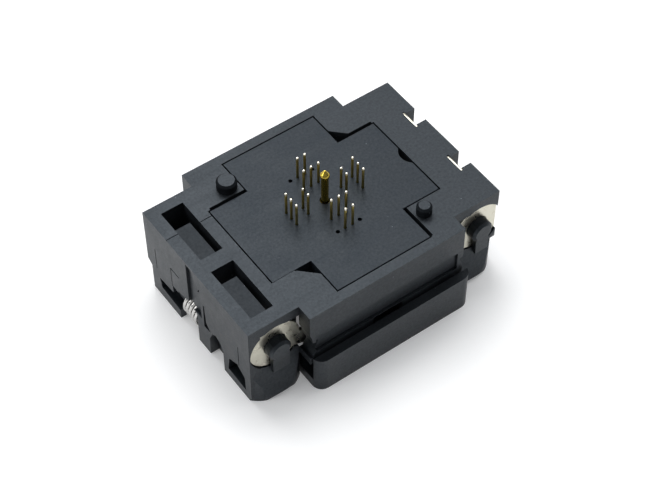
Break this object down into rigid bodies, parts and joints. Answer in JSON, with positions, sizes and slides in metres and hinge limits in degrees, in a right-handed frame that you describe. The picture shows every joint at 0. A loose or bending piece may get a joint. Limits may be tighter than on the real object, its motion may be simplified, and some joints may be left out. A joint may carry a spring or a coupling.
{
  "type": "ic socket",
  "caption": "Open-top test socket for a small square leadless chip, with a sprung cover that opens two latches, pins and locating bosses for a circuit board.",
  "frame": {"origin": "centre of the housing in plan, on the surface that the cover's outer face rests on", "axes": "+Z out of the board side, where the pins point; X along the socket from one latch to the other; Y across it"},
  "size_m": [0.0342, 0.0274, 0.0174],
  "materials": {
    "black_plastic": "satin moulded glass-filled plastic",
    "gold_plating": "gold plated",
    "probe_gold": "gold plated, turned",
    "stainless_sheet": "stamped stainless sheet, bright",
    "ground_steel": "ground",
    "spring_wire": "drawn stainless wire"
  },
  "bodies": {
    "housing": {"base_housing": "black_plastic", "contact_module": "black_plastic", "contact_01": "gold_plating", "contact_02": "gold_plating", "contact_03": "gold_plating", "contact_04": "gold_plating", "contact_05": "gold_plating", "contact_06": "gold_plating", "contact_07": "gold_plating", "contact_08": "gold_plating", "contact_09": "gold_plating", "contact_10": "gold_plating", "contact_11": "gold_plating", "contact_12": "gold_plating", "contact_13": "gold_plating", "contact_14": "gold_plating", "contact_15": "gold_plating", "contact_16": "gold_plating", "contact_17": "gold_plating", "contact_18": "gold_plating", "contact_19": "gold_plating", "contact_20": "gold_plating", "probe_barrel": "probe_gold", "probe_spring": "spring_wire", "latch_shaft_left": "ground_steel", "latch_shaft_right": "ground_steel", "spring_spindle_left": "black_plastic", "spring_spindle_right": "black_plastic", "latch_spring_left": "spring_wire", "latch_spring_right": "spring_wire", "stop_plate_front": "stainless_sheet", "stop_plate_back": "stainless_sheet", "cover_spring_front_left": "spring_wire", "cover_spring_front_right": "spring_wire", "cover_spring_back_left": "spring_wire", "cover_spring_back_right": "spring_wire", "nest_spring_front_left": "spring_wire", "nest_spring_front_right": "spring_wire", "nest_spring_back_left": "spring_wire", "nest_spring_back_right": "spring_wire"},
    "cover": {"cover": "black_plastic"},
    "latch_left": {"latch_left": "black_plastic"},
    "latch_right": {"latch_right": "black_plastic"},
    "nest": {"nest": "black_plastic"},
    "probe_shaft": {"probe_shaft": "probe_gold"},
    "probe_foot": {"probe_foot": "probe_gold"},
    "lever_arm_front_left": {"lever_arm_front_left": "stainless_sheet"},
    "lever_arm_front_right": {"lever_arm_front_right": "stainless_sheet"},
    "lever_arm_back_left": {"lever_arm_back_left": "stainless_sheet"},
    "lever_arm_back_right": {"lever_arm_back_right": "stainless_sheet"}
  },
  "joints": [
    {"name": "cover_press", "type": "slide", "parent": "housing", "child": "cover", "axis": [0, 0, 1], "range_m": [0, 0.0025], "stiffness_N_per_m": 3000, "springref_m": -0.001, "deforming": ["cover_spring_front_left", "cover_spring_front_right", "cover_spring_back_left", "cover_spring_back_right"]},
    {"name": "latch_left_turn", "type": "hinge", "parent": "housing", "child": "latch_left", "pos_m": [-0.0068, 0, 0.0052], "axis": [0, 1, 0], "range_deg": [0, 60], "deforming": ["latch_spring_left"]},
    {"name": "latch_right_turn", "type": "hinge", "parent": "housing", "child": "latch_right", "pos_m": [0.0076, 0, 0.0052], "axis": [0, -1, 0], "range_deg": [0, 60], "deforming": ["latch_spring_right"]},
    {"name": "arm_turn_front_left", "type": "hinge", "parent": "housing", "child": "lever_arm_front_left", "pos_m": [-0.0135, -0.00985, 0.00795], "axis": [0, -1, 0], "range_deg": [0, 11.11]},
    {"name": "arm_turn_front_right", "type": "hinge", "parent": "housing", "child": "lever_arm_front_right", "pos_m": [0.0143, -0.00985, 0.00795], "axis": [0, 1, 0], "range_deg": [0, 11.11]},
    {"name": "arm_turn_back_left", "type": "hinge", "parent": "housing", "child": "lever_arm_back_left", "pos_m": [-0.0135, 0.00985, 0.00795], "axis": [0, -1, 0], "range_deg": [0, 11.11]},
    {"name": "arm_turn_back_right", "type": "hinge", "parent": "housing", "child": "lever_arm_back_right", "pos_m": [0.0143, 0.00985, 0.00795], "axis": [0, 1, 0], "range_deg": [0, 11.11]},
    {"name": "nest_float", "type": "slide", "parent": "housing", "child": "nest", "axis": [0, 0, 1], "range_m": [0, 0.0003], "stiffness_N_per_m": 1000, "springref_m": -0.0005, "deforming": ["nest_spring_front_left", "nest_spring_front_right", "nest_spring_back_left", "nest_spring_back_right"]},
    {"name": "probe_press", "type": "slide", "parent": "housing", "child": "probe_shaft", "axis": [0, 0, -1], "range_m": [0, 0.0015], "stiffness_N_per_m": 150, "springref_m": -0.001, "deforming": ["probe_spring"]},
    {"name": "probe_foot_press", "type": "slide", "parent": "housing", "child": "probe_foot", "axis": [0, 0, 1], "range_m": [0, 0.0004], "stiffness_N_per_m": 150, "springref_m": -0.001}
  ],
  "couplings": [
    {"joint": "latch_left_turn", "follows": "cover_press", "rad_per_m": 418.87},
    {"joint": "latch_right_turn", "follows": "cover_press", "rad_per_m": 418.87},
    {"joint": "arm_turn_front_left", "follows": "cover_press", "rad_per_m": 77.52},
    {"joint": "arm_turn_front_right", "follows": "cover_press", "rad_per_m": 77.52},
    {"joint": "arm_turn_back_left", "follows": "cover_press", "rad_per_m": 77.52},
    {"joint": "arm_turn_back_right", "follows": "cover_press", "rad_per_m": 77.52}
  ]
}
